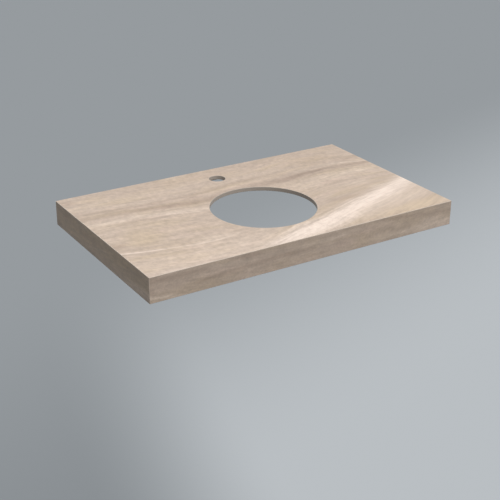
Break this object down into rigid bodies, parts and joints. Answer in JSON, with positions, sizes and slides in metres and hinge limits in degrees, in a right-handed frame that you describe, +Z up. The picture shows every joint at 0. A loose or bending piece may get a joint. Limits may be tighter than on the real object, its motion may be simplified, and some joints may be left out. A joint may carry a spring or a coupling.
{
  "type": "vanity countertop",
  "caption": "Thin stone-look slab with mitred aprons that make it look like a thick block, cut for a round basin and a tap, stiffened and bolted from below, open at the back.",
  "frame": {"origin": "under the middle of the top, on the plane that the aprons stand on", "axes": "+X to the right along the length, +Y to the wall at the open back, +Z up through the deck"},
  "size_m": [0.8, 0.48, 0.06],
  "materials": {
    "stoneware_face": "satin",
    "stoneware_body": "matte",
    "epoxy": "satin",
    "glass_net": "satin",
    "compact_laminate": "matte",
    "brass": "satin"
  },
  "bodies": {
    "root": {"top_slab": "stoneware_face", "front_apron": "stoneware_face", "left_apron": "stoneware_face", "right_apron": "stoneware_face", "front_mitre_seam": "epoxy", "left_mitre_seam": "epoxy", "right_mitre_seam": "epoxy", "left_corner_seam": "epoxy", "right_corner_seam": "epoxy", "slab_net": "glass_net", "front_apron_net": "glass_net", "left_apron_net": "glass_net", "right_apron_net": "glass_net", "left_rib": "stoneware_body", "right_rib": "stoneware_body", "rear_strip": "stoneware_body", "front_left_block": "compact_laminate", "front_right_block": "compact_laminate", "rear_left_block": "compact_laminate", "rear_right_block": "compact_laminate", "front_left_insert": "brass", "front_right_insert": "brass", "rear_left_insert": "brass", "rear_right_insert": "brass"}
  },
  "joints": []
}
